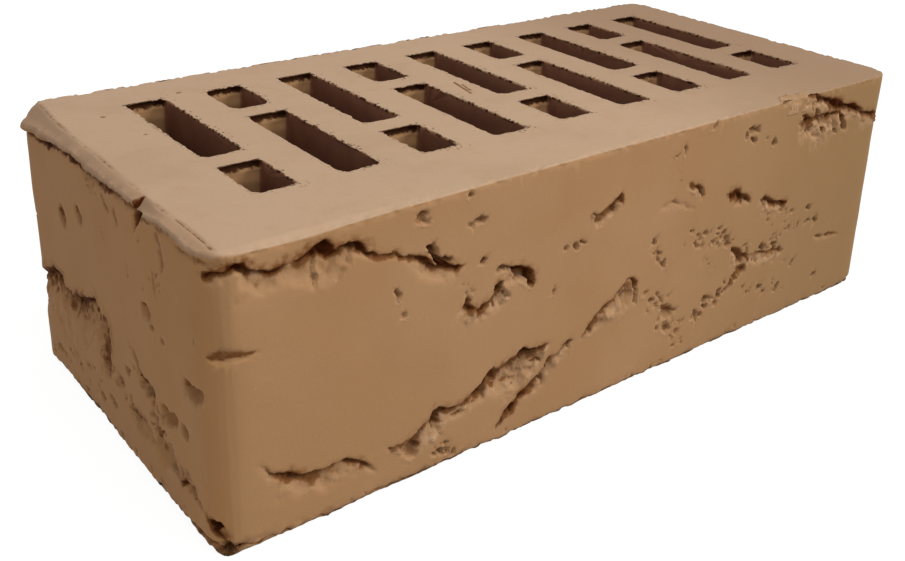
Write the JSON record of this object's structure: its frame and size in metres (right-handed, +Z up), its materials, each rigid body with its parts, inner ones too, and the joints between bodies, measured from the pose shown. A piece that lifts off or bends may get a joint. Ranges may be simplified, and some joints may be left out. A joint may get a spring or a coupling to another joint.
{
  "type": "perforated clay facing brick",
  "caption": "Perforated facing brick of fired brown clay with staggered through slots, a torn rustic stretcher and header, and plain rear sides.",
  "frame": {"origin": "centre of the lower bed, on the floor", "axes": "+X along the length away from the torn header, +Y through the depth away from the torn stretcher, +Z up"},
  "size_m": [0.25, 0.12, 0.079],
  "materials": {
    "fired_clay": "unglazed fired clay, satin skin with rough torn patches"
  },
  "bodies": {
    "root": {"brick": "fired_clay"}
  },
  "joints": []
}
